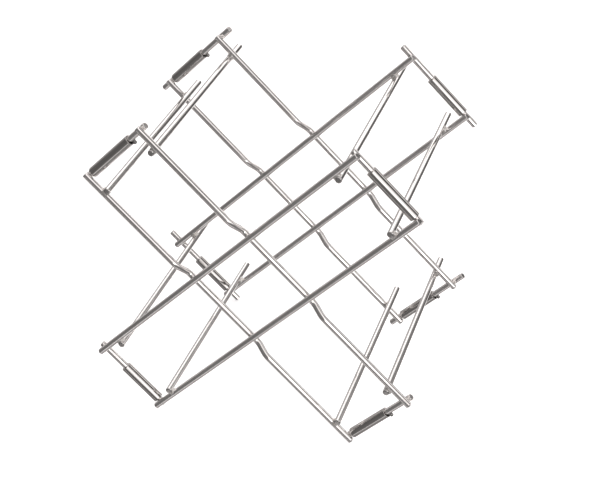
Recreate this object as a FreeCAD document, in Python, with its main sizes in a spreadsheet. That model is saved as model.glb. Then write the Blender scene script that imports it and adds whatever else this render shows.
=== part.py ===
import FreeCAD, Part
import math
import os
import Sketcher

# Cross-shaped stand of polished round rod, all sizes in millimetres.
# Two X-shaped frames, front and rear, are tied together by eight spreaders.
# Each frame is a pair of straight rods crossed by a pair of joggled rods.
# The joggled rods step back behind the straight rods where they cross.
# An end bar closes each arm, and a loose tube sleeve turns on every end bar.
# X runs to the right, Y from the front frame to the rear one, Z is up.
# The origin is on the ground, under the middle of the stand.

SIZES = {
    "rod_dia": 8.0,               # every rod, end bar and spreader
    "end_chamfer": 0.6,           # broken edge of the cut rods
    "straight_rod_length": 460.0,
    "joggled_rod_length": 450.0,
    "rod_spacing": 98.0,          # between the axes of the two rods of an arm
    "frame_gap": 256.0,           # between the front and rear rod planes
    "arm_angle": 45.0,            # rise of the straight rods
    "weld_bite": 0.25,            # how far two welded rods sink into each other
    "joggle_clear": 2.0,          # from the crossed rod's side to the joggle
    "bend_radius": 20.0,
    "bend_angle": 26.0,
    "bar_inset": 5.0,             # from the rod tips to the end bar's axis
    "front_bar_overhang": 2.0,    # end bars, past the outer sides of the rods
    "rear_bar_overhang": 13.5,
    "spreader_reach": 194.0,      # from the crossing's centre, along the arms
    "spreader_front": 5.0,        # past the front rod plane
    "spreader_tail": 38.0,        # past the rear rod plane
    "spreader_round": 1.6,        # rounded spreader ends
    "sleeve_wall": 1.5,
    "sleeve_play": 0.85,          # radial room on the end bar
    "sleeve_sag": 0.45,           # how far a sleeve hangs below its bar's axis
    "sleeve_room": 31.6,          # from a sleeve's upper mouth to the upper rod
    "long_sleeve_room": 19.6,     # the same, at the two upper front sleeves
    "sleeve_edge": 0.4,           # broken edge of the sleeve mouths
    "end_gap": 0.4,               # sleeve to lower rod, and sleeve to stop
    "stop_dia": 4.5,
    "stop_height": 4.4,           # from the end bar's surface
    "stop_dome_share": 0.42,      # dome radius, as a share of the stop's diameter
    "spreader_bead_ring": 2.9,    # weld collars: ring radius and thickness
    "spreader_bead_thick": 1.15,
    "tack_ring": 2.4,
    "tack_thick": 0.8,
}

# Two lengths closer than this count as the same one.
SAME_LENGTH = 0.001

FRAMES = ("front", "rear")
SIDES = {"upper": 1, "lower": -1}

# Each arm end: the arm that it belongs to, and its direction along that arm.
CORNERS = {
    "upper_right": ("straight", 1),
    "lower_left": ("straight", -1),
    "upper_left": ("joggled", -1),
    "lower_right": ("joggled", 1),
}

# Turn of each arm about Y, from X towards -Z.
ARM_TURN = {
    "straight": "(-Sizes.arm_angle)",
    "joggled": "(90 - Sizes.arm_angle)",
}

# A sleeve hangs, and a stop points, towards the lower side of its end bar.
LOWER_SIDE = {"straight": -1, "joggled": 1}

# The arm whose end bars carry stops.
STOPPED_ARM = "joggled"

HALF_ROD = "(Sizes.rod_dia / 2)"
HALF_SPACING = "(Sizes.rod_spacing / 2)"
WELD_STEP = "(Sizes.rod_dia - Sizes.weld_bite)"
STRAIGHT_BAR_REACH = "(Sizes.straight_rod_length / 2 - Sizes.bar_inset)"
JOGGLED_BAR_REACH = "(Sizes.joggled_rod_length / 2 - Sizes.bar_inset)"
BAR_REACH = {"straight": STRAIGHT_BAR_REACH, "joggled": JOGGLED_BAR_REACH}
BAR_LENGTH = {
    "front": "(Sizes.rod_spacing + Sizes.rod_dia + 2 * Sizes.front_bar_overhang)",
    "rear": "(Sizes.rod_spacing + Sizes.rod_dia + 2 * Sizes.rear_bar_overhang)",
}
SPREADER_LENGTH = "(Sizes.frame_gap + Sizes.spreader_front + Sizes.spreader_tail)"

FRONT_PLANE = f"(Sizes.spreader_front - {SPREADER_LENGTH} / 2)"
ROD_PLANE = {"front": FRONT_PLANE, "rear": f"({FRONT_PLANE} + Sizes.frame_gap)"}
BAR_PLANE = {frame: f"({plane} + {WELD_STEP})" for frame, plane in ROD_PLANE.items()}

SLEEVE_RADIUS = f"({HALF_ROD} + Sizes.sleeve_play + Sizes.sleeve_wall)"
SLEEVE_FOOT = f"({HALF_ROD} + Sizes.end_gap - {HALF_SPACING})"
SADDLE_LENGTH = "(2 * Sizes.stop_dia)"

OUTER_REACH = f"(max({STRAIGHT_BAR_REACH}; {JOGGLED_BAR_REACH}) + {HALF_ROD})"
HALF_REAR_BAR = f"({BAR_LENGTH['rear']} / 2)"
STEEPER = "max(sin(Sizes.arm_angle); cos(Sizes.arm_angle))"
FLATTER = "min(sin(Sizes.arm_angle); cos(Sizes.arm_angle))"
CENTRE_HEIGHT = (
    f"({OUTER_REACH} * {STEEPER} + {HALF_REAR_BAR} * {FLATTER} - Sizes.end_chamfer * {FLATTER})"
)


def make_sheet(doc):
    """Spreadsheet of the driving sizes, one aliased cell each."""
    sheet = doc.addObject("Spreadsheet::Sheet", "Sizes")
    for row, (name, value) in enumerate(SIZES.items(), start=1):
        sheet.set(f"A{row}", name)
        sheet.set(f"B{row}", str(value))
        sheet.setAlias(f"B{row}", name)
    doc.recompute()


def arm_spot(turn, along, across, depth):
    """Expression of a spot along and across an arm, at a depth."""
    across_x = f"({across}) * sin({turn})"
    across_z = f"({across}) * cos({turn})"
    spot_x = f"({along}) * cos({turn}) + {across_x}"
    spot_z = f"{CENTRE_HEIGHT} - ({along}) * sin({turn}) + {across_z}"
    return f"vector({spot_x}; {depth}; {spot_z})"


def bind_placement(obj, spot, axis, angle):
    """Bind an object's Placement to a spot and a turn about one axis."""
    obj.setExpression("Placement", f"placement({spot}; rotation(vector({axis}); {angle}))")


def new_sketch(body, name, plane_role):
    """Sketch attached to one of the body's own origin planes."""
    sketch = body.newObject("Sketcher::SketchObject", name)
    plane = next(item for item in body.Origin.OriginFeatures if item.Role == plane_role)
    sketch.AttachmentSupport = (plane, [""])
    sketch.MapMode = "FlatFace"
    return sketch


def add_bound(sketch, name, kind, arguments, expression):
    """Add a dimension to a sketch, name it and bind it to an expression."""
    index = sketch.addConstraint(Sketcher.Constraint(kind, *arguments))
    sketch.renameConstraint(index, name)
    sketch.setExpression(f"Constraints.{name}", expression)


def add_circle(sketch, name, radius_expression, start_radius):
    """Circle about the sketch's origin with a named, bound radius."""
    centre = FreeCAD.Vector(0, 0, 0)
    circle = sketch.addGeometry(Part.Circle(centre, FreeCAD.Vector(0, 0, 1), start_radius))
    sketch.addConstraint(Sketcher.Constraint("Coincident", circle, 3, -1, 1))
    add_bound(sketch, name, "Radius", (circle, start_radius), radius_expression)


def rim_edges(feature, radius=None):
    """Names of the full-circle edges of a feature, of one radius if given."""
    names = []
    for number, edge in enumerate(feature.Shape.Edges, start=1):
        if not edge.Closed or not isinstance(edge.Curve, Part.Circle):
            continue
        if radius is None or abs(edge.Curve.Radius - radius) < SAME_LENGTH:
            names.append(f"Edge{number}")
    return names


def break_edges(body, feature, kind, size_name, radius=None):
    """Chamfer or round a feature's circular edges by a size from the sheet."""
    dressing = body.newObject(f"PartDesign::{kind}", f"{body.Name}_{kind.lower()}")
    dressing.Base = (feature, rim_edges(feature, radius))
    prop = "Size" if kind == "Chamfer" else "Radius"
    dressing.setExpression(prop, f"Sizes.{size_name}")
    body.Tip = dressing


def make_round_bar(doc, name, length, kind, size_name):
    """Straight round bar, centred on its own origin, lying along its X."""
    body = doc.addObject("PartDesign::Body", name)
    sketch = new_sketch(body, f"{name}_section", "YZ_Plane")
    add_circle(sketch, "bar_radius", "Sizes.rod_dia / 2", SIZES["rod_dia"] / 2)
    pad = body.newObject("PartDesign::Pad", f"{name}_pad")
    pad.Profile = sketch
    pad.SideType = "Symmetric"
    pad.setExpression("Length", length)
    doc.recompute()
    break_edges(body, pad, kind, size_name)
    return body


def joggle_outline():
    """Starting path of a joggled rod: straight runs joined by arcs."""
    radius = SIZES["bend_radius"]
    angle = math.radians(SIZES["bend_angle"])
    step = SIZES["rod_dia"] - SIZES["weld_bite"]
    length = SIZES["joggled_rod_length"]
    inner = SIZES["rod_spacing"] / 2 + SIZES["rod_dia"] / 2 + SIZES["joggle_clear"]
    ramp = (step - 2 * radius * (1 - math.cos(angle))) / math.sin(angle)
    run = 2 * radius * math.sin(angle) + ramp * math.cos(angle)
    arc_run = radius * math.sin(angle)
    arc_rise = radius * (1 - math.cos(angle))

    def corner_points(middle, sign):
        outer = middle + sign * (inner + run)
        ramp_low = FreeCAD.Vector(outer - sign * arc_run, arc_rise, 0)
        ramp_high = FreeCAD.Vector(middle + sign * (inner + arc_run), step - arc_rise, 0)
        top = FreeCAD.Vector(middle + sign * inner, step, 0)
        return FreeCAD.Vector(outer, 0, 0), ramp_low, ramp_high, top

    def arc(centre, start, end):
        circle = Part.Circle(centre, FreeCAD.Vector(0, 0, 1), radius)
        return Part.ArcOfCircle(circle, start, end)

    foot_a, low_a, high_a, top_a = corner_points(length / 2, -1)
    foot_b, low_b, high_b, top_b = corner_points(length / 2, 1)
    up = FreeCAD.Vector(0, radius, 0)
    quarter = math.pi / 2
    return [
        Part.LineSegment(FreeCAD.Vector(0, 0, 0), foot_a),
        arc(foot_a + up, -quarter, angle - quarter),
        Part.LineSegment(low_a, high_a),
        arc(top_a - up, quarter, quarter + angle),
        Part.LineSegment(top_a, top_b),
        arc(top_b - up, quarter - angle, quarter),
        Part.LineSegment(high_b, low_b),
        arc(foot_b + up, -quarter - angle, -quarter),
        Part.LineSegment(foot_b, FreeCAD.Vector(length, 0, 0)),
    ]


def draw_joggle_path(sketch):
    """Constrained path of a joggled rod, from its tip at the origin."""
    outline = joggle_outline()
    sketch.addGeometry(outline, False)
    start, end = 1, 2
    run_a, arc_a, ramp_a, arc_b, middle, arc_c, ramp_b, arc_d, run_b = range(9)
    joints = [
        (run_a, end, arc_a, start),
        (arc_a, end, ramp_a, start),
        (ramp_a, end, arc_b, end),
        (arc_b, start, middle, start),
        (middle, end, arc_c, end),
        (arc_c, start, ramp_b, start),
        (ramp_b, end, arc_d, start),
        (arc_d, end, run_b, start),
    ]
    for joint in joints:
        sketch.addConstraint(Sketcher.Constraint("Tangent", *joint))
    sketch.addConstraint(Sketcher.Constraint("Coincident", run_a, start, -1, 1))
    sketch.addConstraint(Sketcher.Constraint("Horizontal", run_a))
    sketch.addConstraint(Sketcher.Constraint("PointOnObject", run_b, end, -1))
    sketch.addConstraint(Sketcher.Constraint("Horizontal", run_b))
    for bend in (arc_b, arc_c, arc_d):
        sketch.addConstraint(Sketcher.Constraint("Equal", arc_a, bend))

    half = "Sizes.joggled_rod_length / 2"
    inner = f"({HALF_SPACING} + {HALF_ROD} + Sizes.joggle_clear)"
    turn = math.radians(SIZES["bend_angle"])
    step = outline[middle].StartPoint.y
    first_x = outline[middle].StartPoint.x
    second_x = outline[middle].EndPoint.x
    length = SIZES["joggled_rod_length"]
    add_bound(sketch, "bend", "Radius", (arc_a, SIZES["bend_radius"]), "Sizes.bend_radius")
    add_bound(sketch, "rise", "Angle", (-1, 1, ramp_a, start, turn), "Sizes.bend_angle * 1 deg")
    add_bound(sketch, "step", "DistanceY", (-1, 1, middle, start, step), WELD_STEP)
    add_bound(sketch, "full", "DistanceX", (-1, 1, run_b, end, length), "Sizes.joggled_rod_length")
    add_bound(sketch, "near", "DistanceX", (-1, 1, middle, start, first_x), f"{half} - {inner}")
    add_bound(sketch, "far", "DistanceX", (-1, 1, middle, end, second_x), f"{half} + {inner}")


def make_joggled_rod(doc, name):
    """Round rod that steps sideways around its middle, tip at its origin."""
    body = doc.addObject("PartDesign::Body", name)
    path = new_sketch(body, f"{name}_path", "XY_Plane")
    draw_joggle_path(path)
    section = new_sketch(body, f"{name}_section", "YZ_Plane")
    add_circle(section, "bar_radius", "Sizes.rod_dia / 2", SIZES["rod_dia"] / 2)
    doc.recompute()
    pipe = body.newObject("PartDesign::AdditivePipe", f"{name}_pipe")
    pipe.Profile = section
    pipe.Spine = (path, [f"Edge{number + 1}" for number in range(len(path.Shape.Edges))])
    doc.recompute()
    tips = [
        f"Edge{number}"
        for number, edge in enumerate(pipe.Shape.Edges, start=1)
        if edge.Closed and is_tip(edge)
    ]
    chamfer = body.newObject("PartDesign::Chamfer", f"{name}_chamfer")
    chamfer.Base = (pipe, tips)
    chamfer.setExpression("Size", "Sizes.end_chamfer")
    body.Tip = chamfer
    return body


def is_tip(edge):
    """True for an edge at either end of a rod that starts at its origin."""
    spot = edge.CenterOfMass.x
    return min(abs(spot), abs(spot - SIZES["joggled_rod_length"])) < SAME_LENGTH


def make_sleeve(doc, name, length):
    """Plain tube, centred on its own origin, lying along its X."""
    body = doc.addObject("PartDesign::Body", name)
    bore_radius = SIZES["rod_dia"] / 2 + SIZES["sleeve_play"]
    tube_radius = bore_radius + SIZES["sleeve_wall"]
    sketch = new_sketch(body, f"{name}_section", "YZ_Plane")
    add_circle(sketch, "tube_radius", SLEEVE_RADIUS, tube_radius)
    add_circle(sketch, "bore_radius", f"{SLEEVE_RADIUS} - Sizes.sleeve_wall", bore_radius)
    pad = body.newObject("PartDesign::Pad", f"{name}_pad")
    pad.Profile = sketch
    pad.SideType = "Symmetric"
    pad.setExpression("Length", length)
    doc.recompute()
    break_edges(body, pad, "Chamfer", "sleeve_edge", tube_radius)
    return body


def make_stop(doc, name):
    """Short domed stub along its X, with a saddle that seats on a bar."""
    body = doc.addObject("PartDesign::Body", name)
    section = new_sketch(body, f"{name}_section", "YZ_Plane")
    add_circle(section, "stop_radius", "Sizes.stop_dia / 2", SIZES["stop_dia"] / 2)
    stub = body.newObject("PartDesign::Pad", f"{name}_stub")
    stub.Profile = section
    stub.setExpression("Length", f"{HALF_ROD} + Sizes.stop_height")
    doc.recompute()
    dome = body.newObject("PartDesign::Fillet", f"{name}_dome")
    far_rim = max(rim_edges(stub), key=lambda rim: edge_height(stub, rim))
    dome.Base = (stub, [far_rim])
    dome.setExpression("Radius", "Sizes.stop_dia * Sizes.stop_dome_share")
    body.Tip = dome
    doc.recompute()
    full = dome.Shape.Volume
    bar = new_sketch(body, f"{name}_seat", "XY_Plane")
    add_circle(bar, "seat_radius", "Sizes.rod_dia / 2", SIZES["rod_dia"] / 2)
    saddle = body.newObject("PartDesign::Pocket", f"{name}_saddle")
    saddle.Profile = bar
    saddle.SideType = "Symmetric"
    saddle.Type = "Length"
    saddle.setExpression("Length", SADDLE_LENGTH)
    body.Tip = saddle
    doc.recompute()
    if saddle.Shape.Volume >= full:
        raise ValueError(f"{name}: the saddle cuts nothing")
    return body


def edge_height(feature, edge_name):
    """Distance of a circular edge's centre along the feature's X."""
    return feature.getSubObject(edge_name).CenterOfMass.x


def add_frame_rods(doc):
    """The four long rods of each frame."""
    rods = []
    for frame in FRAMES:
        for side, sign in SIDES.items():
            across = f"{sign} * {HALF_SPACING}"
            rod = make_round_bar(
                doc, f"{frame}_straight_rod_{side}", "Sizes.straight_rod_length",
                "Chamfer", "end_chamfer",
            )
            turn = ARM_TURN["straight"]
            bind_placement(rod, arm_spot(turn, "0", across, ROD_PLANE[frame]), "0; 1; 0", turn)
            rods.append(rod)
            rod = make_joggled_rod(doc, f"{frame}_joggled_rod_{side}")
            turn = ARM_TURN["joggled"]
            along = "-Sizes.joggled_rod_length / 2"
            bind_placement(rod, arm_spot(turn, along, across, ROD_PLANE[frame]), "0; 1; 0", turn)
            rods.append(rod)
    return rods


def add_end_bars(doc):
    """One bar across each arm end, behind the rods of its frame."""
    bars = []
    for frame in FRAMES:
        for corner, (arm, way) in CORNERS.items():
            bar = make_round_bar(
                doc, f"{frame}_{corner}_end_bar", BAR_LENGTH[frame], "Chamfer", "end_chamfer"
            )
            spot = arm_spot(ARM_TURN[arm], f"{way} * {BAR_REACH[arm]}", "0", BAR_PLANE[frame])
            bind_placement(bar, spot, "0; 1; 0", f"{ARM_TURN[arm]} - 90")
            bars.append(bar)
    return bars


def add_spreaders(doc):
    """Two spreaders near each arm end, inside the arm, from front to back."""
    spreaders = []
    for corner, (arm, way) in CORNERS.items():
        for side, sign in SIDES.items():
            bar = make_round_bar(
                doc, f"{corner}_spreader_{side}", SPREADER_LENGTH, "Fillet", "spreader_round"
            )
            along = f"{way} * Sizes.spreader_reach"
            across = f"{sign} * ({HALF_SPACING} - {WELD_STEP})"
            bind_placement(bar, arm_spot(ARM_TURN[arm], along, across, "0"), "0; 0; 1", "90")
            spreaders.append(bar)
    return spreaders


def sleeve_length(frame, corner):
    """Length of a sleeve, which fills the arm's width up to its room."""
    is_long = frame == "front" and corner.startswith("upper")
    room = "long_sleeve_room" if is_long else "sleeve_room"
    return f"(Sizes.rod_spacing - Sizes.rod_dia - Sizes.end_gap - Sizes.{room})"


def add_sleeves(doc):
    """A loose sleeve on each end bar, standing on the lower rod."""
    sleeves = []
    for frame in FRAMES:
        for corner, (arm, way) in CORNERS.items():
            length = sleeve_length(frame, corner)
            sleeve = make_sleeve(doc, f"{frame}_{corner}_sleeve", length)
            along = f"{way} * {BAR_REACH[arm]} + {LOWER_SIDE[arm]} * Sizes.sleeve_sag"
            across = f"{SLEEVE_FOOT} + {length} / 2"
            spot = arm_spot(ARM_TURN[arm], along, across, BAR_PLANE[frame])
            bind_placement(sleeve, spot, "0; 1; 0", f"{ARM_TURN[arm]} - 90")
            sleeves.append(sleeve)
    return sleeves


def add_stops(doc):
    """A stub under each end bar of the joggled arms, just above its sleeve."""
    stops = []
    for frame in FRAMES:
        for corner, (arm, way) in CORNERS.items():
            if arm != STOPPED_ARM:
                continue
            stop = make_stop(doc, f"{frame}_{corner}_sleeve_stop")
            length = sleeve_length(frame, corner)
            across = f"{SLEEVE_FOOT} + {length} + Sizes.end_gap + Sizes.stop_dia / 2"
            spot = arm_spot(ARM_TURN[arm], f"{way} * {BAR_REACH[arm]}", across, BAR_PLANE[frame])
            facing = "0" if LOWER_SIDE[arm] > 0 else "180"
            bind_placement(stop, spot, "0; 1; 0", f"{ARM_TURN[arm]} + {facing}")
            stops.append(stop)
    return stops


def make_ring(doc, name, ring_name, thick_name):
    """Ring of weld metal, before the rods are cut out of it."""
    ring = doc.addObject("Part::Torus", name)
    ring.setExpression("Radius1", f"Sizes.{ring_name}")
    ring.setExpression("Radius2", f"Sizes.{thick_name}")
    return ring


def frame_rings(doc, frame):
    """Weld rings of one frame: four crossings, and two rods on each end bar."""
    spots = []
    for side, sign in SIDES.items():
        for other, other_sign in SIDES.items():
            along = f"{other_sign} * {HALF_SPACING}"
            spots.append((f"crossing_{side}_{other}", "joggled", along, sign))
        for corner, (arm, way) in CORNERS.items():
            spots.append((f"{corner}_{side}", arm, f"{way} * {BAR_REACH[arm]}", sign))
    rings = []
    for label, arm, along, sign in spots:
        ring = make_ring(doc, f"{frame}_{label}_ring", "tack_ring", "tack_thick")
        depth = f"{ROD_PLANE[frame]} + {WELD_STEP} / 2"
        spot = arm_spot(ARM_TURN[arm], along, f"{sign} * {HALF_SPACING}", depth)
        bind_placement(ring, spot, "1; 0; 0", "90")
        rings.append(ring)
    return rings


def spreader_rings(doc, frame):
    """Weld rings between the spreaders and the rods of one frame."""
    rings = []
    for corner, (arm, way) in CORNERS.items():
        for side, sign in SIDES.items():
            ring = make_ring(
                doc, f"{frame}_{corner}_{side}_spreader_ring",
                "spreader_bead_ring", "spreader_bead_thick",
            )
            along = f"{way} * Sizes.spreader_reach"
            across = f"{sign} * ({HALF_SPACING} - {WELD_STEP} / 2)"
            spot = arm_spot(ARM_TURN[arm], along, across, ROD_PLANE[frame])
            bind_placement(ring, spot, "0; 1; 0", ARM_TURN[arm])
            rings.append(ring)
    return rings


def add_welds(doc, steel):
    """Weld groups of both frames: the rings less the rods that they join."""
    welded = doc.addObject("Part::MultiFuse", "welded_rods")
    welded.Shapes = steel
    groups = []
    for frame in FRAMES:
        makers = {"frame_welds": frame_rings, "spreader_welds": spreader_rings}
        for kind, maker in makers.items():
            rings = doc.addObject("Part::Compound", f"{frame}_{kind}_rings")
            rings.Links = maker(doc, frame)
            group = doc.addObject("Part::Cut", f"{frame}_{kind}")
            group.Base = rings
            group.Tool = welded
            groups.append(group)
    return groups


def check_document(doc):
    """Stop if any object failed to recompute or holds no valid shape."""
    for obj in doc.Objects:
        if "Invalid" in obj.State or "Error" in obj.State:
            raise ValueError(f"{obj.Name}: {obj.State}")
        shape = getattr(obj, "Shape", None)
        is_solid = obj.isDerivedFrom("Part::Feature") and not obj.isDerivedFrom("Part::Part2DObject")
        if is_solid and shape is not None and (shape.isNull() or not shape.isValid()):
            raise ValueError(f"{obj.Name}: no valid shape")


def main():
    """Build the stand and write one STEP file for each sub-part."""
    doc = FreeCAD.newDocument("rod_stand")
    make_sheet(doc)
    steel = add_frame_rods(doc) + add_end_bars(doc) + add_spreaders(doc)
    turning = add_sleeves(doc)
    stops = add_stops(doc)
    doc.recompute()
    welds = add_welds(doc, steel)
    doc.recompute()
    check_document(doc)
    os.makedirs("parts", exist_ok=True)
    for part in steel + turning + stops + welds:
        part.Label = part.Name
        part.Shape.exportStep(os.path.join("parts", f"{part.Label}.step"))


main()
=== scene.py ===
import math

import bpy
import numpy as np
from mathutils import Matrix, Vector


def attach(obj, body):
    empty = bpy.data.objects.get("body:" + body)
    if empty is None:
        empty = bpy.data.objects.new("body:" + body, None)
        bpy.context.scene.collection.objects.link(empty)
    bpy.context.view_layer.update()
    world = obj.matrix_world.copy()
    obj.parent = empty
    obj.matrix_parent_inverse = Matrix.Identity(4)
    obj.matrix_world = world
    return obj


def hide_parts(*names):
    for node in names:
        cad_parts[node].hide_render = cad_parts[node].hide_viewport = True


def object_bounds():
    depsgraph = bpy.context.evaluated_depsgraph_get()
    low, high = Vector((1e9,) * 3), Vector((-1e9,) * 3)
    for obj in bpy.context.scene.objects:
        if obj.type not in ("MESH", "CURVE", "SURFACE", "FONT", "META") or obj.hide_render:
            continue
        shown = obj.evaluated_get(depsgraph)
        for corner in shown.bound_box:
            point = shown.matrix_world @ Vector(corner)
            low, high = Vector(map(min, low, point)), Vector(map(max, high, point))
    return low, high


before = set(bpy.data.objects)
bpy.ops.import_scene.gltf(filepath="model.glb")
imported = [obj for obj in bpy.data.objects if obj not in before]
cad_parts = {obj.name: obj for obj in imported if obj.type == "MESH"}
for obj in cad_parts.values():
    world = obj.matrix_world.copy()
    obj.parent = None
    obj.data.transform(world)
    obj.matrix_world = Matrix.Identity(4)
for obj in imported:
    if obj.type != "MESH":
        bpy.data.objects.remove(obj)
cad_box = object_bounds()

# Directions of the stand's rods, and the way from its front frame to its rear one.
HALF_ROOT = math.sqrt(0.5)
RISING = np.array([HALF_ROOT, 0.0, HALF_ROOT])
FALLING = np.array([HALF_ROOT, 0.0, -HALF_ROOT])
DEPTH = np.array([0.0, 1.0, 0.0])
RIGHTWARD = np.array([1.0, 0.0, 0.0])
FRAMES = ("front", "rear")
SIDES = ("upper", "lower")
STRAIGHT_CORNERS = ("upper_right", "lower_left")
JOGGLED_CORNERS = ("upper_left", "lower_right")
CORNERS = STRAIGHT_CORNERS + JOGGLED_CORNERS

# Sizes that the reach of the CAD nodes doesn't give, in metres.
JOGGLE_STEP = 0.00775
JOGGLE_INNER = 0.055
BEND_RADIUS = 0.020
BEND_ANGLE = math.radians(26.0)
BEND_FLATTENING = 0.05
BEND_WIDENING = 0.015
SPREADER_ROUNDING = 0.0016
SLEEVE_WALL = 0.0015
SLEEVE_EDGE = 0.0004
SLEEVE_BORE_EDGE = 0.00028
SLEEVE_RIM = 0.001
STOP_DOME_SHARE = 0.84
BEAD_END_CLEARANCE = 0.0012
BEAD_SINK = 0.00006
BEAD_TOE = 0.00025

# How finely the pieces are divided.
AROUND = 48
AROUND_SLEEVE = 72
AROUND_STOP = 36
AROUND_BEAD = 56
BEAD_LEVELS = 9
BEND_STATIONS = 14
COARSE_STEP = 0.006
FINE_STEP = 0.001
JOGGLE_STATION_STEP = 0.0025
SLEEVE_STATION_STEP = 0.002
TAIL_START = 0.002
WELD_REACH = 0.010
END_MARGIN = 0.0002

# How far the welding heat reaches, and how dull the sawn ends are.
HEAT_START = 0.0035
HEAT_FADE = 0.0030
SAWN_DULLNESS = 0.45

rng = np.random.default_rng(471)


class Bar:
    """A straight round bar: its ends, its direction and its radius."""

    def __init__(self, start, end, radius):
        self.start = np.array(start)
        self.end = np.array(end)
        self.radius = radius
        self.length = float(np.linalg.norm(self.end - self.start))
        self.direction = (self.end - self.start) / self.length


def span(node, direction):
    """Lowest and highest reach of a CAD node along a direction."""
    points = np.array([v.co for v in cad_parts[node].data.vertices])
    reach = points @ direction
    return float(reach.min()), float(reach.max())


def sides_of(direction):
    """Two directions square to a bar and to each other."""
    runs_in_depth = abs(direction @ DEPTH) > 0.5
    side = RIGHTWARD if runs_in_depth else np.cross(direction, DEPTH)
    return side, np.cross(direction, side)


def measure_bar(node, direction):
    """The bar that a straight CAD node is, from its reach three ways."""
    side, other = sides_of(direction)
    near, far = span(node, direction)
    side_low, side_high = span(node, side)
    other_low, other_high = span(node, other)
    middle = side * (side_low + side_high) / 2 + other * (other_low + other_high) / 2
    return Bar(middle + direction * near, middle + direction * far, (side_high - side_low) / 2)


def cross_direction(corner):
    """Direction of the end bar that closes an arm, pointing upwards."""
    return -FALLING if corner in STRAIGHT_CORNERS else RISING


def hang_direction(corner):
    """Direction along an arm in which its sleeve hangs from its end bar."""
    return -RISING if corner in STRAIGHT_CORNERS else FALLING


# Every straight bar of the stand, by the name of its node.
bars = {}
for frame_name in FRAMES:
    for side_name in SIDES:
        node = f"{frame_name}_straight_rod_{side_name}"
        bars[node] = measure_bar(node, RISING)
    for corner in CORNERS:
        node = f"{frame_name}_{corner}_end_bar"
        bars[node] = measure_bar(node, cross_direction(corner))
for corner in CORNERS:
    for side_name in SIDES:
        node = f"{corner}_spreader_{side_name}"
        bars[node] = measure_bar(node, DEPTH)
rod_radius = bars["front_straight_rod_upper"].radius

# A joggled rod has its outer runs in the rod plane, and its middle a step behind it.
joggled = {}
for frame_name in FRAMES:
    plane = bars[f"{frame_name}_straight_rod_upper"].start[1]
    for side_name in SIDES:
        node = f"{frame_name}_joggled_rod_{side_name}"
        near, far = span(node, FALLING)
        low, high = span(node, RISING)
        base = RISING * (low + high) / 2 + DEPTH * plane
        joggled[node] = (base, near, far)


def outer_run(node):
    """A joggled rod seen as one bar along its outer runs."""
    base, near, far = joggled[node]
    return Bar(base + FALLING * near, base + FALLING * far, rod_radius)


def middle_run(node):
    """A joggled rod seen as one bar along its stepped middle."""
    base, near, far = joggled[node]
    behind = base + DEPTH * JOGGLE_STEP
    return Bar(behind + FALLING * near, behind + FALLING * far, rod_radius)


def crossing(one, two):
    """Where two perpendicular bars cross, and the way from the first's axis to the second's."""
    offset = two.start - one.start
    spot_one = one.start + one.direction * float(offset @ one.direction)
    spot_two = two.start + two.direction * float(-offset @ two.direction)
    return (spot_one + spot_two) / 2, spot_two - spot_one


def rod_of(frame_name, corner, side_name):
    """The outer bar of the rod on one side of an arm."""
    if corner in STRAIGHT_CORNERS:
        return bars[f"{frame_name}_straight_rod_{side_name}"]
    return outer_run(f"{frame_name}_joggled_rod_{side_name}")


# Each weld: the node it belongs to, the two bars, and the size of its bead.
TACK = {"reach": 0.0031, "bulge": 0.00022, "ripple": 0.00010}
BEAD = {"reach": 0.0044, "bulge": 0.00050, "ripple": 0.00022}
welds = []
for frame_name in FRAMES:
    for straight_side in SIDES:
        straight = bars[f"{frame_name}_straight_rod_{straight_side}"]
        for joggled_side in SIDES:
            behind = middle_run(f"{frame_name}_joggled_rod_{joggled_side}")
            welds.append((f"{frame_name}_frame_welds", straight, behind, TACK))
    for corner in CORNERS:
        for side_name in SIDES:
            rod = rod_of(frame_name, corner, side_name)
            end_bar = bars[f"{frame_name}_{corner}_end_bar"]
            welds.append((f"{frame_name}_frame_welds", rod, end_bar, TACK))
            spreader = bars[f"{corner}_spreader_{side_name}"]
            welds.append((f"{frame_name}_spreader_welds", rod, spreader, BEAD))
weld_spots = np.array([crossing(one, two)[0] for _, one, two, _ in welds])


def heat_at(points):
    """How strongly the welding heat touched each point, from 0 to 1."""
    gaps = np.linalg.norm(points[:, None, :] - weld_spots[None, :, :], axis=2).min(axis=1)
    return np.exp(-(np.clip(gaps - HEAT_START, 0.0, None) / HEAT_FADE) ** 2)


def make_piece(name, node, body, points, faces, coordinates, heat, cut=None):
    """A smooth-shaded piece that stands for a CAD node and rides on a body.

    Its materials read three layers: the place along and across its grain, its heat and its cut.
    """
    mesh = bpy.data.meshes.new(name)
    mesh.from_pydata([tuple(p) for p in points], [], faces)
    mesh.validate()
    mesh.update()
    for polygon in mesh.polygons:
        polygon.use_smooth = True
    grain = mesh.attributes.new("grain", "FLOAT_VECTOR", "POINT")
    grain.data.foreach_set("vector", np.asarray(coordinates, np.float32).ravel())
    cut = np.zeros(len(points)) if cut is None else cut
    for key, values in (("heat", heat), ("cut", cut)):
        layer = mesh.attributes.new(key, "FLOAT", "POINT")
        layer.data.foreach_set("value", np.asarray(values, np.float32))
    piece = bpy.data.objects.new(name, mesh)
    bpy.context.scene.collection.objects.link(piece)
    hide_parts(node)
    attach(piece, body)
    return piece


def ring_faces(count, around):
    """Quads of a tube of rings, laid out ring after ring."""
    faces = []
    for ring in range(count - 1):
        first = ring * around
        second = first + around
        for step in range(around):
            after = (step + 1) % around
            faces.append((first + step, first + after, second + after, second + step))
    return faces


def end_dullness(count, worked):
    """How dull each point of a swept bar is: dull on the worked rings of its ends, then 0."""
    rings = np.zeros(count)
    rings[:worked] = SAWN_DULLNESS
    rings[count - worked:] = SAWN_DULLNESS
    return np.concatenate([np.repeat(rings, AROUND), [SAWN_DULLNESS, SAWN_DULLNESS]])


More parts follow.
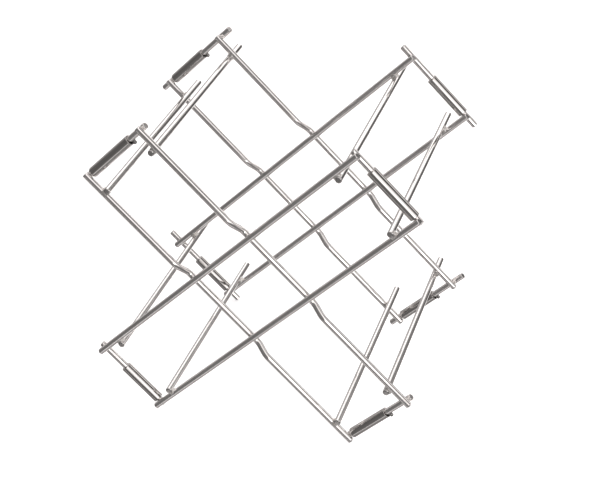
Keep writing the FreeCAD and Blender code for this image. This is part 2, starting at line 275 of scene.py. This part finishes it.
def sweep(rings, around, offset):
    """Points, faces and grain coordinates of a capped tube.

    A ring is its centre, two unit sides, its two half-widths and its distance along the bar.
    """
    angles = np.linspace(0.0, 2 * math.pi, around, endpoint=False)
    points, grain = [], []
    for centre, side, other, half_side, half_other, along in rings:
        ring = (centre + np.outer(np.cos(angles) * half_side, side)
                + np.outer(np.sin(angles) * half_other, other))
        points.append(ring)
        grain.append(np.column_stack([
            np.full(around, along + offset), np.cos(angles) * half_side, np.sin(angles) * half_other
        ]))
    points = np.concatenate(points + [np.array([rings[0][0], rings[-1][0]])])
    ends = np.array([[rings[0][5] + offset, 0, 0], [rings[-1][5] + offset, 0, 0]])
    grain = np.concatenate(grain + [ends])
    faces = ring_faces(len(rings), around)
    start_centre = len(points) - 2
    last = (len(rings) - 1) * around
    for step in range(around):
        after = (step + 1) % around
        faces.append((start_centre, after, step))
        faces.append((start_centre + 1, last + step, last + after))
    return points, faces, grain


def sawn_end(radius):
    """Distance from the tip and radius of each ring of a sawn end with a filed edge, tip first."""
    rows = [(0.00004, 0.30), (0.00002, 0.60), (0.0, 0.80), (0.00005, 0.845),
            (0.00016, 0.885), (0.00034, 0.930), (0.00056, 0.978), (0.00076, 1.0)]
    return [(depth, radius * share) for depth, share in rows]


def rounded_end(radius):
    """Distance from the tip and radius of each ring of a spreader's rounded end, tip first."""
    rows = [(0.00003, radius * 0.25), (0.0, radius - SPREADER_ROUNDING)]
    for turn in np.linspace(10, 90, 9):
        angle = math.radians(turn)
        rows.append((SPREADER_ROUNDING * (1 - math.cos(angle)),
                     radius - SPREADER_ROUNDING * (1 - math.sin(angle))))
    return rows


def stations(length, margin, hot):
    """Distances along a bar for its rings, closer together near the welds."""
    coarse = np.linspace(margin, length - margin, max(2, int(length / COARSE_STEP)))
    close = [np.arange(spot - WELD_REACH, spot + WELD_REACH, FINE_STEP) for spot in hot]
    every = np.concatenate([coarse] + close)
    every = np.sort(every[(every >= margin) & (every <= length - margin)])
    keep = [every[0]]
    for value in every[1:]:
        if value - keep[-1] > 0.6 * FINE_STEP:
            keep.append(value)
    return keep


def build_bar(node, bar, end):
    """A straight bar with worked ends, in place of its CAD node."""
    side, other = sides_of(bar.direction)
    profile = end(bar.radius)
    margin = profile[-1][0] + END_MARGIN
    hot = []
    for spot in weld_spots:
        along = float((spot - bar.start) @ bar.direction)
        away = np.linalg.norm(spot - bar.start - bar.direction * along)
        if away < 1.5 * bar.radius:
            hot.append(along)
    rows = profile + [(along, bar.radius) for along in stations(bar.length, margin, hot)]
    rows += [(bar.length - depth, radius) for depth, radius in reversed(profile)]
    rings = [(bar.start + bar.direction * along, side, other, radius, radius, along)
             for along, radius in rows]
    points, faces, grain = sweep(rings, AROUND, float(rng.uniform(0, 5)))
    cut = end_dullness(len(rings), len(profile) - 2)
    return make_piece(f"{node}_steel", node, "frame", points, faces, grain,
                      heat_at(points), cut)


def joggle_path():
    """Half a joggled rod's centre line: along, behind, turn and how hard it was pressed.

    Also gives how far from the middle its outer run starts.
    """
    ramp = (JOGGLE_STEP - 2 * BEND_RADIUS * (1 - math.cos(BEND_ANGLE))) / math.sin(BEND_ANGLE)
    arc_run = BEND_RADIUS * math.sin(BEND_ANGLE)
    outer = JOGGLE_INNER + 2 * arc_run + ramp * math.cos(BEND_ANGLE)
    half = []
    for along in np.arange(0.0, JOGGLE_INNER - FINE_STEP, JOGGLE_STATION_STEP):
        half.append((along, JOGGLE_STEP, 0.0, 0.0))
    turns = np.linspace(0.0, BEND_ANGLE, BEND_STATIONS)
    for turn in turns:
        along = JOGGLE_INNER + BEND_RADIUS * math.sin(turn)
        behind = JOGGLE_STEP - BEND_RADIUS * (1 - math.cos(turn))
        half.append((along, behind, turn, math.sin(math.pi * turn / BEND_ANGLE)))
    last_along, last_behind = half[-1][0], half[-1][1]
    for share in (0.25, 0.5, 0.75):
        half.append((last_along + share * ramp * math.cos(BEND_ANGLE),
                     last_behind - share * ramp * math.sin(BEND_ANGLE), BEND_ANGLE, 0.0))
    for turn in turns[::-1]:
        along = outer - BEND_RADIUS * math.sin(turn)
        behind = BEND_RADIUS * (1 - math.cos(turn))
        half.append((along, behind, turn, math.sin(math.pi * turn / BEND_ANGLE)))
    return half, outer


def build_joggled(node):
    """A joggled rod with pressed bends, in place of its CAD node."""
    base, near, far = joggled[node]
    half, outer = joggle_path()
    profile = sawn_end(rod_radius)
    length = far - near
    centre = (near + far) / 2
    hot = []
    for spot in weld_spots:
        along = float((spot - base) @ FALLING) - centre
        away = np.linalg.norm(spot - base - FALLING * (along + centre))
        if away < 2.5 * rod_radius and abs(along) > outer:
            hot.append(along)
    tail = []
    margin = profile[-1][0] + END_MARGIN
    tail_length = length / 2 - outer
    tail_hot = [along - outer for along in hot if along > 0]
    for along in stations(tail_length, TAIL_START, tail_hot):
        if along < tail_length - margin:
            tail.append(outer + along)
    mirrored = [(-along, behind, -turn, press) for along, behind, turn, press in half[1:]]
    rows = [(-length / 2 + depth, 0.0, 0.0, 0.0, radius) for depth, radius in profile]
    rows += [(-along, 0.0, 0.0, 0.0, rod_radius) for along in reversed(tail)]
    rows += [(*row, rod_radius) for row in reversed(mirrored)]
    rows += [(*row, rod_radius) for row in half]
    rows += [(along, 0.0, 0.0, 0.0, rod_radius) for along in tail]
    rows += [(length / 2 - depth, 0.0, 0.0, 0.0, radius) for depth, radius in reversed(profile)]
    rings = []
    travelled = 0.0
    previous = None
    for along, behind, turn, press, radius in rows:
        spot = base + FALLING * (along + centre) + DEPTH * behind
        if previous is not None:
            travelled += float(np.linalg.norm(spot - previous))
        previous = spot
        outward = DEPTH * math.cos(turn) + FALLING * math.sin(turn)
        wide = radius * (1 + BEND_WIDENING * press)
        flat = radius * (1 - BEND_FLATTENING * press)
        rings.append((spot, RISING, outward, wide, flat, travelled))
    points, faces, grain = sweep(rings, AROUND, float(rng.uniform(0, 5)))
    cut = end_dullness(len(rings), len(profile) - 2)
    return make_piece(f"{node}_steel", node, "frame", points, faces, grain,
                      heat_at(points), cut)


def build_sleeve(node, direction):
    """A turned tube with broken edges inside and out, in place of its CAD node."""
    bar = measure_bar(node, direction)
    side, other = sides_of(direction)
    outer, inner = bar.radius, bar.radius - SLEEVE_WALL
    rim = [(0.0, inner + SLEEVE_BORE_EDGE), (0.0, outer - SLEEVE_EDGE),
           (0.00006, outer - 0.00022), (0.00020, outer - 0.00007), (SLEEVE_EDGE, outer)]
    near, far = SLEEVE_RIM, bar.length - SLEEVE_RIM
    steps = int(bar.length / SLEEVE_STATION_STEP)
    body = [(along, outer) for along in np.linspace(near, far, steps)]
    far_rim = [(bar.length - depth, radius) for depth, radius in reversed(rim)]
    bore = [(bar.length - SLEEVE_BORE_EDGE, inner)]
    bore += [(along, inner) for along in np.linspace(far, near, 12)]
    bore += [(SLEEVE_BORE_EDGE, inner)]
    rows = rim + body + far_rim + bore
    angles = np.linspace(0.0, 2 * math.pi, AROUND_SLEEVE, endpoint=False)
    offset = float(rng.uniform(0, 5))
    points, grain = [], []
    for along, radius in rows:
        centre = bar.start + direction * along
        points.append(centre + np.outer(np.cos(angles) * radius, side)
                      + np.outer(np.sin(angles) * radius, other))
        grain.append(np.column_stack([
            np.full(AROUND_SLEEVE, along + offset), np.cos(angles) * radius, np.sin(angles) * radius
        ]))
    points = np.concatenate(points)
    faces = ring_faces(len(rows), AROUND_SLEEVE)
    last = (len(rows) - 1) * AROUND_SLEEVE
    for step in range(AROUND_SLEEVE):
        after = (step + 1) % AROUND_SLEEVE
        faces.append((last + step, last + after, after, step))
    return make_piece(f"{node}_tube", node, node, points, faces,
                      np.concatenate(grain), np.zeros(len(points)))


def build_stop(node, corner, end_bar):
    """A domed stub with a small toe of weld where it stands on its end bar."""
    hang, cross = hang_direction(corner), cross_direction(corner)
    low, high = span(node, cross)
    foot = end_bar.start + cross * ((low + high) / 2 - float(end_bar.start @ cross))
    tip = span(node, hang)[1] - float(foot @ hang)
    radius = (high - low) / 2
    dome = STOP_DOME_SHARE * radius
    toe = ((-0.0012, 0.0002), (-0.0002, 0.00030), (0.0002, 0.00015), (0.0005, 0.0))
    rows = [(end_bar.radius + height, radius + swell) for height, swell in toe]
    rows += [(height, radius) for height in np.linspace(end_bar.radius + 0.0008, tip - dome, 6)]
    for turn in np.linspace(8, 84, 10):
        angle = math.radians(turn)
        rows.append((tip - dome + dome * math.sin(angle), radius - dome * (1 - math.cos(angle))))
    rings = [(foot + hang * height, cross, DEPTH, width, width, height) for height, width in rows]
    points, faces, grain = sweep(rings, AROUND_STOP, float(rng.uniform(0, 5)))
    return make_piece(f"{node}_stub", node, "frame", points, faces, grain,
                      heat_at(points), np.ones(len(points)))


def bead_points(one, two, size):
    """Points and faces of one weld bead, which fills the gap round a crossing."""
    centre, gap = crossing(one, two)
    distance = float(np.linalg.norm(gap))
    normal = gap / distance
    radius = one.radius
    before = float((centre - two.start) @ two.direction) - BEAD_END_CLEARANCE
    beyond = two.length - 2 * BEAD_END_CLEARANCE - before
    phase, ripples = rng.uniform(0, 2 * math.pi), int(rng.integers(9, 13))
    swell = rng.uniform(0, 2 * math.pi, 3)
    grow = rng.uniform(0.94, 1.05)
    steepest = 0.985 * radius
    points = []
    for step in range(AROUND_BEAD):
        angle = 2 * math.pi * step / AROUND_BEAD
        wave = 0.05 * math.sin(2 * angle + swell[0]) + 0.04 * math.sin(3 * angle + swell[1])
        sway = 0.6 * math.sin(angle + swell[2])
        ripple = size["ripple"] * math.sin(ripples * angle + phase + sway)
        reach = size["reach"] * grow * (1 + wave)
        for share in np.linspace(0.0, 1.0, BEAD_LEVELS):
            level = 2 * share - 1
            belly = 1 - level * level
            out = reach + size["bulge"] * belly + BEAD_TOE * level ** 4 + ripple * belly
            x, y = out * math.cos(angle), out * math.sin(angle)
            y = min(max(y, -before), beyond)
            foot = math.sqrt(radius ** 2 - min(abs(y), steepest) ** 2) - distance / 2 - BEAD_SINK
            roof = distance / 2 - math.sqrt(radius ** 2 - min(abs(x), steepest) ** 2) + BEAD_SINK
            height = foot + (roof - foot) * share
            points.append(centre + one.direction * x + two.direction * y + normal * height)
    bottom, top = len(points), len(points) + 1
    cap = normal * (distance / 2 - 0.6 * radius)
    points += [centre - cap, centre + cap]
    faces = []
    for step in range(AROUND_BEAD):
        here = step * BEAD_LEVELS
        after = (step + 1) % AROUND_BEAD * BEAD_LEVELS
        for level in range(BEAD_LEVELS - 1):
            faces.append((here + level, after + level, after + level + 1, here + level + 1))
    for step in range(AROUND_BEAD):
        here = step * BEAD_LEVELS
        after = (step + 1) % AROUND_BEAD * BEAD_LEVELS
        faces.append((bottom, after, here))
        faces.append((top, here + BEAD_LEVELS - 1, after + BEAD_LEVELS - 1))
    if np.dot(np.cross(one.direction, two.direction), normal) < 0:
        faces = [tuple(reversed(face)) for face in faces]
    return points, faces


def build_welds(node):
    """All the beads of one weld node, as one piece."""
    points, faces = [], []
    for owner, one, two, size in welds:
        if owner == node:
            bead, quads = bead_points(one, two, size)
            faces += [tuple(index + len(points) for index in quad) for quad in quads]
            points += bead
    points = np.array(points)
    return make_piece(f"{node}_beads", node, "frame", points, faces, points,
                      heat_at(points))


class Nodes:
    """Short calls for building a node tree."""

    def __init__(self, tree):
        self.tree = tree
        tree.nodes.clear()

    def add(self, kind, **settings):
        node = self.tree.nodes.new(kind)
        for key, value in settings.items():
            setattr(node, key, value)
        return node

    def link(self, source, target):
        self.tree.links.new(source, target)

    def feed(self, socket, value):
        if isinstance(value, bpy.types.NodeSocket):
            self.link(value, socket)
        else:
            socket.default_value = value

    def math(self, operation, one, two=0.0):
        node = self.add("ShaderNodeMath", operation=operation)
        self.feed(node.inputs[0], one)
        self.feed(node.inputs[1], two)
        return node.outputs[0]

    def stretch(self, vector, scale):
        node = self.add("ShaderNodeVectorMath", operation="MULTIPLY")
        self.link(vector, node.inputs[0])
        node.inputs[1].default_value = scale
        return node.outputs[0]

    def dot(self, vector, axis):
        node = self.add("ShaderNodeVectorMath", operation="DOT_PRODUCT")
        self.link(vector, node.inputs[0])
        node.inputs[1].default_value = tuple(Vector(axis).normalized())
        return node.outputs["Value"]

    def noise(self, vector, scale, detail=3.0, roughness=0.5, distortion=0.0):
        node = self.add("ShaderNodeTexNoise")
        self.link(vector, node.inputs["Vector"])
        node.inputs["Scale"].default_value = scale
        node.inputs["Detail"].default_value = detail
        node.inputs["Roughness"].default_value = roughness
        node.inputs["Distortion"].default_value = distortion
        return node.outputs["Fac"]

    def remap(self, value, low, high, to_low, to_high, smooth=False):
        kind = "SMOOTHSTEP" if smooth else "LINEAR"
        node = self.add("ShaderNodeMapRange", interpolation_type=kind)
        self.link(value, node.inputs["Value"])
        node.inputs["From Min"].default_value = low
        node.inputs["From Max"].default_value = high
        node.inputs["To Min"].default_value = to_low
        node.inputs["To Max"].default_value = to_high
        return node.outputs["Result"]

    def mix(self, factor, one, two):
        node = self.add("ShaderNodeMix", data_type="RGBA")
        self.feed(node.inputs[0], factor)
        self.feed(node.inputs[6], one)
        self.feed(node.inputs[7], two)
        return node.outputs[2]

    def bump(self, height, strength, distance, normal=None):
        node = self.add("ShaderNodeBump")
        node.inputs["Strength"].default_value = strength
        node.inputs["Distance"].default_value = distance
        self.link(height, node.inputs["Height"])
        if normal is not None:
            self.link(normal, node.inputs["Normal"])
        return node.outputs["Normal"]


def new_material(name):
    """An empty node material, with its shader linked to its output."""
    material = bpy.data.materials.new(name)
    material.use_nodes = True
    nodes = Nodes(material.node_tree)
    shader = nodes.add("ShaderNodeBsdfPrincipled")
    output = nodes.add("ShaderNodeOutputMaterial")
    nodes.link(shader.outputs[0], output.inputs["Surface"])
    return material, nodes, shader


HEAT_TINT = (0.50, 0.43, 0.36, 1.0)
SAWN_TONE = (0.16, 0.154, 0.15, 1.0)
DRAW_LINE_DEPTH = 0.00003
DENT_DEPTH = 0.00012


def steel_material(name, bright, dark, tint, smooth, rough):
    """Polished steel with lengthwise draw lines, faint stains, heat marks and dull sawn ends."""
    material, nodes, shader = new_material(name)
    grain = nodes.add("ShaderNodeAttribute", attribute_name="grain").outputs["Vector"]
    heat = nodes.add("ShaderNodeAttribute", attribute_name="heat").outputs["Fac"]
    cut = nodes.add("ShaderNodeAttribute", attribute_name="cut").outputs["Fac"]
    lines = nodes.noise(nodes.stretch(grain, (14.0, 2600.0, 2600.0)), 1.0, 4.0, 0.6)
    streaks = nodes.noise(nodes.stretch(grain, (6.0, 420.0, 420.0)), 1.0, 3.0, 0.55)
    stains = nodes.noise(nodes.stretch(grain, (60.0, 160.0, 160.0)), 1.0, 5.0, 0.6, 0.4)
    scuffs = nodes.noise(nodes.stretch(grain, (900.0, 700.0, 700.0)), 1.0, 2.0, 0.7)

    shade = nodes.remap(streaks, 0.35, 0.68, 0.0, 1.0)
    colour = nodes.mix(shade, (*dark, 1.0), (*bright, 1.0))
    mottle = nodes.remap(stains, 0.42, 0.72, 0.0, 0.35)
    colour = nodes.mix(mottle, colour, (*tint, 1.0))
    edge = nodes.math("MULTIPLY", heat, nodes.remap(stains, 0.3, 0.7, 0.35, 1.0))
    colour = nodes.mix(nodes.math("MULTIPLY", edge, 0.55), colour, HEAT_TINT)
    sawn = nodes.math("MULTIPLY", cut, nodes.remap(scuffs, 0.35, 0.65, 0.55, 1.0))
    colour = nodes.mix(sawn, colour, SAWN_TONE)
    nodes.link(colour, shader.inputs["Base Color"])
    shader.inputs["Metallic"].default_value = 1.0

    gloss = nodes.remap(streaks, 0.3, 0.7, smooth, rough)
    gloss = nodes.math("ADD", gloss, nodes.remap(scuffs, 0.62, 0.80, 0.0, 0.10))
    gloss = nodes.math("ADD", gloss, nodes.math("MULTIPLY", heat, 0.10))
    gloss = nodes.math("ADD", gloss, nodes.math("MULTIPLY", cut, 0.16))
    nodes.link(gloss, shader.inputs["Roughness"])

    fine = nodes.bump(lines, 0.22, DRAW_LINE_DEPTH)
    dents = nodes.noise(nodes.stretch(grain, (45.0, 90.0, 90.0)), 1.0, 2.0, 0.5)
    nodes.link(nodes.bump(dents, 0.16, DENT_DEPTH, fine), shader.inputs["Normal"])
    return material


def weld_material():
    """Weld metal: rough, with bright and grey patches and a straw tint here and there."""
    material, nodes, shader = new_material("weld_metal")
    place = nodes.add("ShaderNodeTexCoord").outputs["Object"]
    patches = nodes.noise(place, 900.0, 4.0, 0.6)
    specks = nodes.noise(place, 3200.0, 3.0, 0.6)
    colour = nodes.mix(nodes.remap(patches, 0.40, 0.60, 0.0, 1.0),
                       (0.62, 0.60, 0.585, 1.0), (0.95, 0.93, 0.915, 1.0))
    straw = nodes.remap(nodes.noise(place, 420.0, 2.0), 0.52, 0.66, 0.0, 0.45)
    colour = nodes.mix(straw, colour, (0.60, 0.52, 0.43, 1.0))
    nodes.link(colour, shader.inputs["Base Color"])
    shader.inputs["Metallic"].default_value = 1.0
    nodes.link(nodes.remap(specks, 0.3, 0.7, 0.20, 0.45), shader.inputs["Roughness"])
    coarse = nodes.bump(patches, 0.6, 0.0004)
    nodes.link(nodes.bump(specks, 0.4, 0.0001, coarse), shader.inputs["Normal"])
    return material


def build_pieces():
    """Every piece of the stand, by the material that it is made of."""
    rods, sleeves, beads = [], [], []
    for node, bar in bars.items():
        rods.append(build_bar(node, bar, rounded_end if "spreader" in node else sawn_end))
    for node in joggled:
        rods.append(build_joggled(node))
    for frame_name in FRAMES:
        for corner in CORNERS:
            arm_end = f"{frame_name}_{corner}"
            if corner in JOGGLED_CORNERS:
                rods.append(build_stop(f"{arm_end}_sleeve_stop", corner, bars[f"{arm_end}_end_bar"]))
            sleeves.append(build_sleeve(f"{arm_end}_sleeve", cross_direction(corner)))
        for kind in ("frame_welds", "spreader_welds"):
            beads.append(build_welds(f"{frame_name}_{kind}"))
    return rods, sleeves, beads


rod_steel = steel_material("rod_steel", (0.90, 0.88, 0.87), (0.78, 0.76, 0.75),
                           (0.70, 0.67, 0.65), 0.06, 0.12)
sleeve_tube = steel_material("sleeve_tube", (0.57, 0.555, 0.545), (0.49, 0.475, 0.465),
                             (0.44, 0.42, 0.405), 0.06, 0.11)
for material, made in zip((rod_steel, sleeve_tube, weld_material()), build_pieces()):
    for piece in made:
        piece.data.materials.append(material)

FLOOR_HALF = 12.0
FLOOR_DROP = 0.0002
FLOOR_GLOW = 0.55


def build_floor():
    """A wide pale sheet that fades into the white surroundings and isn't mirrored in the steel."""
    mesh = bpy.data.meshes.new("floor")
    corners = [(-1, -1), (1, -1), (1, 1), (-1, 1)]
    points = [(x * FLOOR_HALF, y * FLOOR_HALF, -FLOOR_DROP) for x, y in corners]
    mesh.from_pydata(points, [], [(0, 1, 2, 3)])
    floor = bpy.data.objects.new("floor", mesh)
    bpy.context.scene.collection.objects.link(floor)
    material, nodes, shader = new_material("floor_paper")
    place = nodes.add("ShaderNodeTexCoord").outputs["Object"]
    tone = nodes.remap(nodes.noise(place, 3.0), 0.3, 0.7, 0.84, 0.88)
    nodes.link(tone, shader.inputs["Base Color"])
    shader.inputs["Roughness"].default_value = 0.9
    shader.inputs["Emission Color"].default_value = (1.0, 1.0, 1.0, 1.0)
    shader.inputs["Emission Strength"].default_value = FLOOR_GLOW
    mesh.materials.append(material)
    floor.visible_glossy = False


build_floor()


def build_world():
    """White surroundings, which the steel mirrors as a studio with light and dark patches."""
    world = bpy.data.worlds.new("studio")
    bpy.context.scene.world = world
    world.use_nodes = True
    nodes = Nodes(world.node_tree)
    way = nodes.add("ShaderNodeTexCoord").outputs["Generated"]

    def grey(value):
        """A slightly warm grey."""
        return (value, value * 0.968, value * 0.958, 1.0)

    def toward(axis, low, high, start=0.0, end=1.0):
        """A share that goes from start to end as a way turns towards an axis."""
        return nodes.remap(nodes.dot(way, axis), low, high, start, end, True)

    def lobe(axis, inner, outer):
        """1 near an axis, falling to 0, with both angles in degrees."""
        return toward(axis, math.cos(math.radians(outer)), math.cos(math.radians(inner)))

    def band(normal, half_width, soft):
        """1 along a great circle, falling to 0 beside it."""
        off = nodes.math("ABSOLUTE", nodes.dot(way, normal))
        return nodes.remap(off, half_width, half_width + soft, 1.0, 0.0, True)

    def both(one, two):
        return nodes.math("MULTIPLY", one, two)

    # Each patch lies over those before it: where it is, and its brightness.
    patches = (
        (lobe((0.05, -0.52, -0.85), 14, 30), 0.42),    # floor in front
        (toward((0, 1, 0), 0.12, 0.34), 1.6),          # bright wall behind
        (lobe((-0.72, 0.68, 0.08), 22, 32), 0.45),     # dim wall behind on the left
        (lobe((0.0, 0.15, 1.0), 35, 50), 1.3),         # ceiling
        (lobe((-0.26, 0.81, -0.53), 14, 30), 0.50),    # floor behind
        (both(toward((0, 1, 0), 0.80, 0.86, 1.0, 0.3),
              lobe((0.42, 0.68, 0.61), 12, 19)), 0.26),  # flag behind, high on the right
        (lobe((0.53, 0.81, 0.22), 6, 14), 0.22),       # small flag behind on the right
        (lobe((0.47, 0.86, -0.17), 13, 21), 0.10),     # flag behind, low on the right
        (lobe((0.70, -0.42, 0.58), 20, 30), 1.2),      # window in front on the right
        (lobe((0.83, 0.17, 0.54), 15, 20), 0.06),      # flag on the right
        (both(lobe((0.60, -0.74, 0.25), 20, 30),
              band((0.578, 0.188, -0.794), 0.05, 0.05)), 2.0),  # strip light in front
        (both(lobe((-0.10, -0.68, -0.72), 22, 34),
              band((-0.04, 0.727, -0.686), 0.03, 0.035)), 1.4),  # bright line on the floor in front
    )
    tone = nodes.mix(toward((-1, 0, 0), 0.30, 0.85), grey(0.215), grey(0.175))
    for share, value in patches:
        tone = nodes.mix(share, tone, grey(value))

    surround = nodes.add("ShaderNodeBackground")
    nodes.link(tone, surround.inputs["Color"])
    backdrop = nodes.add("ShaderNodeBackground")
    backdrop.inputs["Color"].default_value = (1.0, 1.0, 1.0, 1.0)
    backdrop.inputs["Strength"].default_value = 1.05
    chooser = nodes.add("ShaderNodeMixShader")
    nodes.link(nodes.add("ShaderNodeLightPath").outputs["Is Camera Ray"], chooser.inputs[0])
    nodes.link(surround.outputs[0], chooser.inputs[1])
    nodes.link(backdrop.outputs[0], chooser.inputs[2])
    output = nodes.add("ShaderNodeOutputWorld")
    nodes.link(chooser.outputs[0], output.inputs["Surface"])


build_world()


def add_area(name, place, target, size, power):
    """A soft square light aimed at a point."""
    light = bpy.data.lights.new(name, "AREA")
    light.size = size
    light.energy = power
    lamp = bpy.data.objects.new(name, light)
    lamp.location = place
    lamp.rotation_mode = "QUATERNION"
    lamp.rotation_quaternion = (Vector(target) - Vector(place)).to_track_quat("-Z", "Y")
    bpy.context.scene.collection.objects.link(lamp)


low_corner, high_corner = cad_box
add_area("key_softbox", (1.68, -2.07, 0.91), (low_corner + high_corner) / 2, 0.55, 1.9)

# Camera: seen from the front right and above, with a slight roll.
AZIMUTH = math.radians(17.54)
ELEVATION = math.radians(32.14)
ROLL = math.radians(-0.69)
CAMERA_DISTANCE = 1.7282
AIM = Vector((0.0, -0.0165, 0.20853))
AIM_RIGHT = 0.02139
AIM_UP = -0.00633
camera_data = bpy.data.cameras.new("photo_camera")
camera_data.sensor_width = 36.0
camera_data.lens = 84.55
camera_data.clip_start = 0.05
camera_data.clip_end = 60.0
camera = bpy.data.objects.new("photo_camera", camera_data)
turn = (Matrix.Rotation(AZIMUTH, 3, "Z") @ Matrix.Rotation(math.pi / 2 - ELEVATION, 3, "X")
        @ Matrix.Rotation(ROLL, 3, "Z"))
aim = AIM + turn.col[0] * AIM_RIGHT + turn.col[1] * AIM_UP
camera.matrix_world = Matrix.Translation(aim + turn.col[2] * CAMERA_DISTANCE) @ turn.to_4x4()
bpy.context.scene.collection.objects.link(camera)
bpy.context.scene.camera = camera
bpy.context.scene.view_settings.view_transform = "Standard"
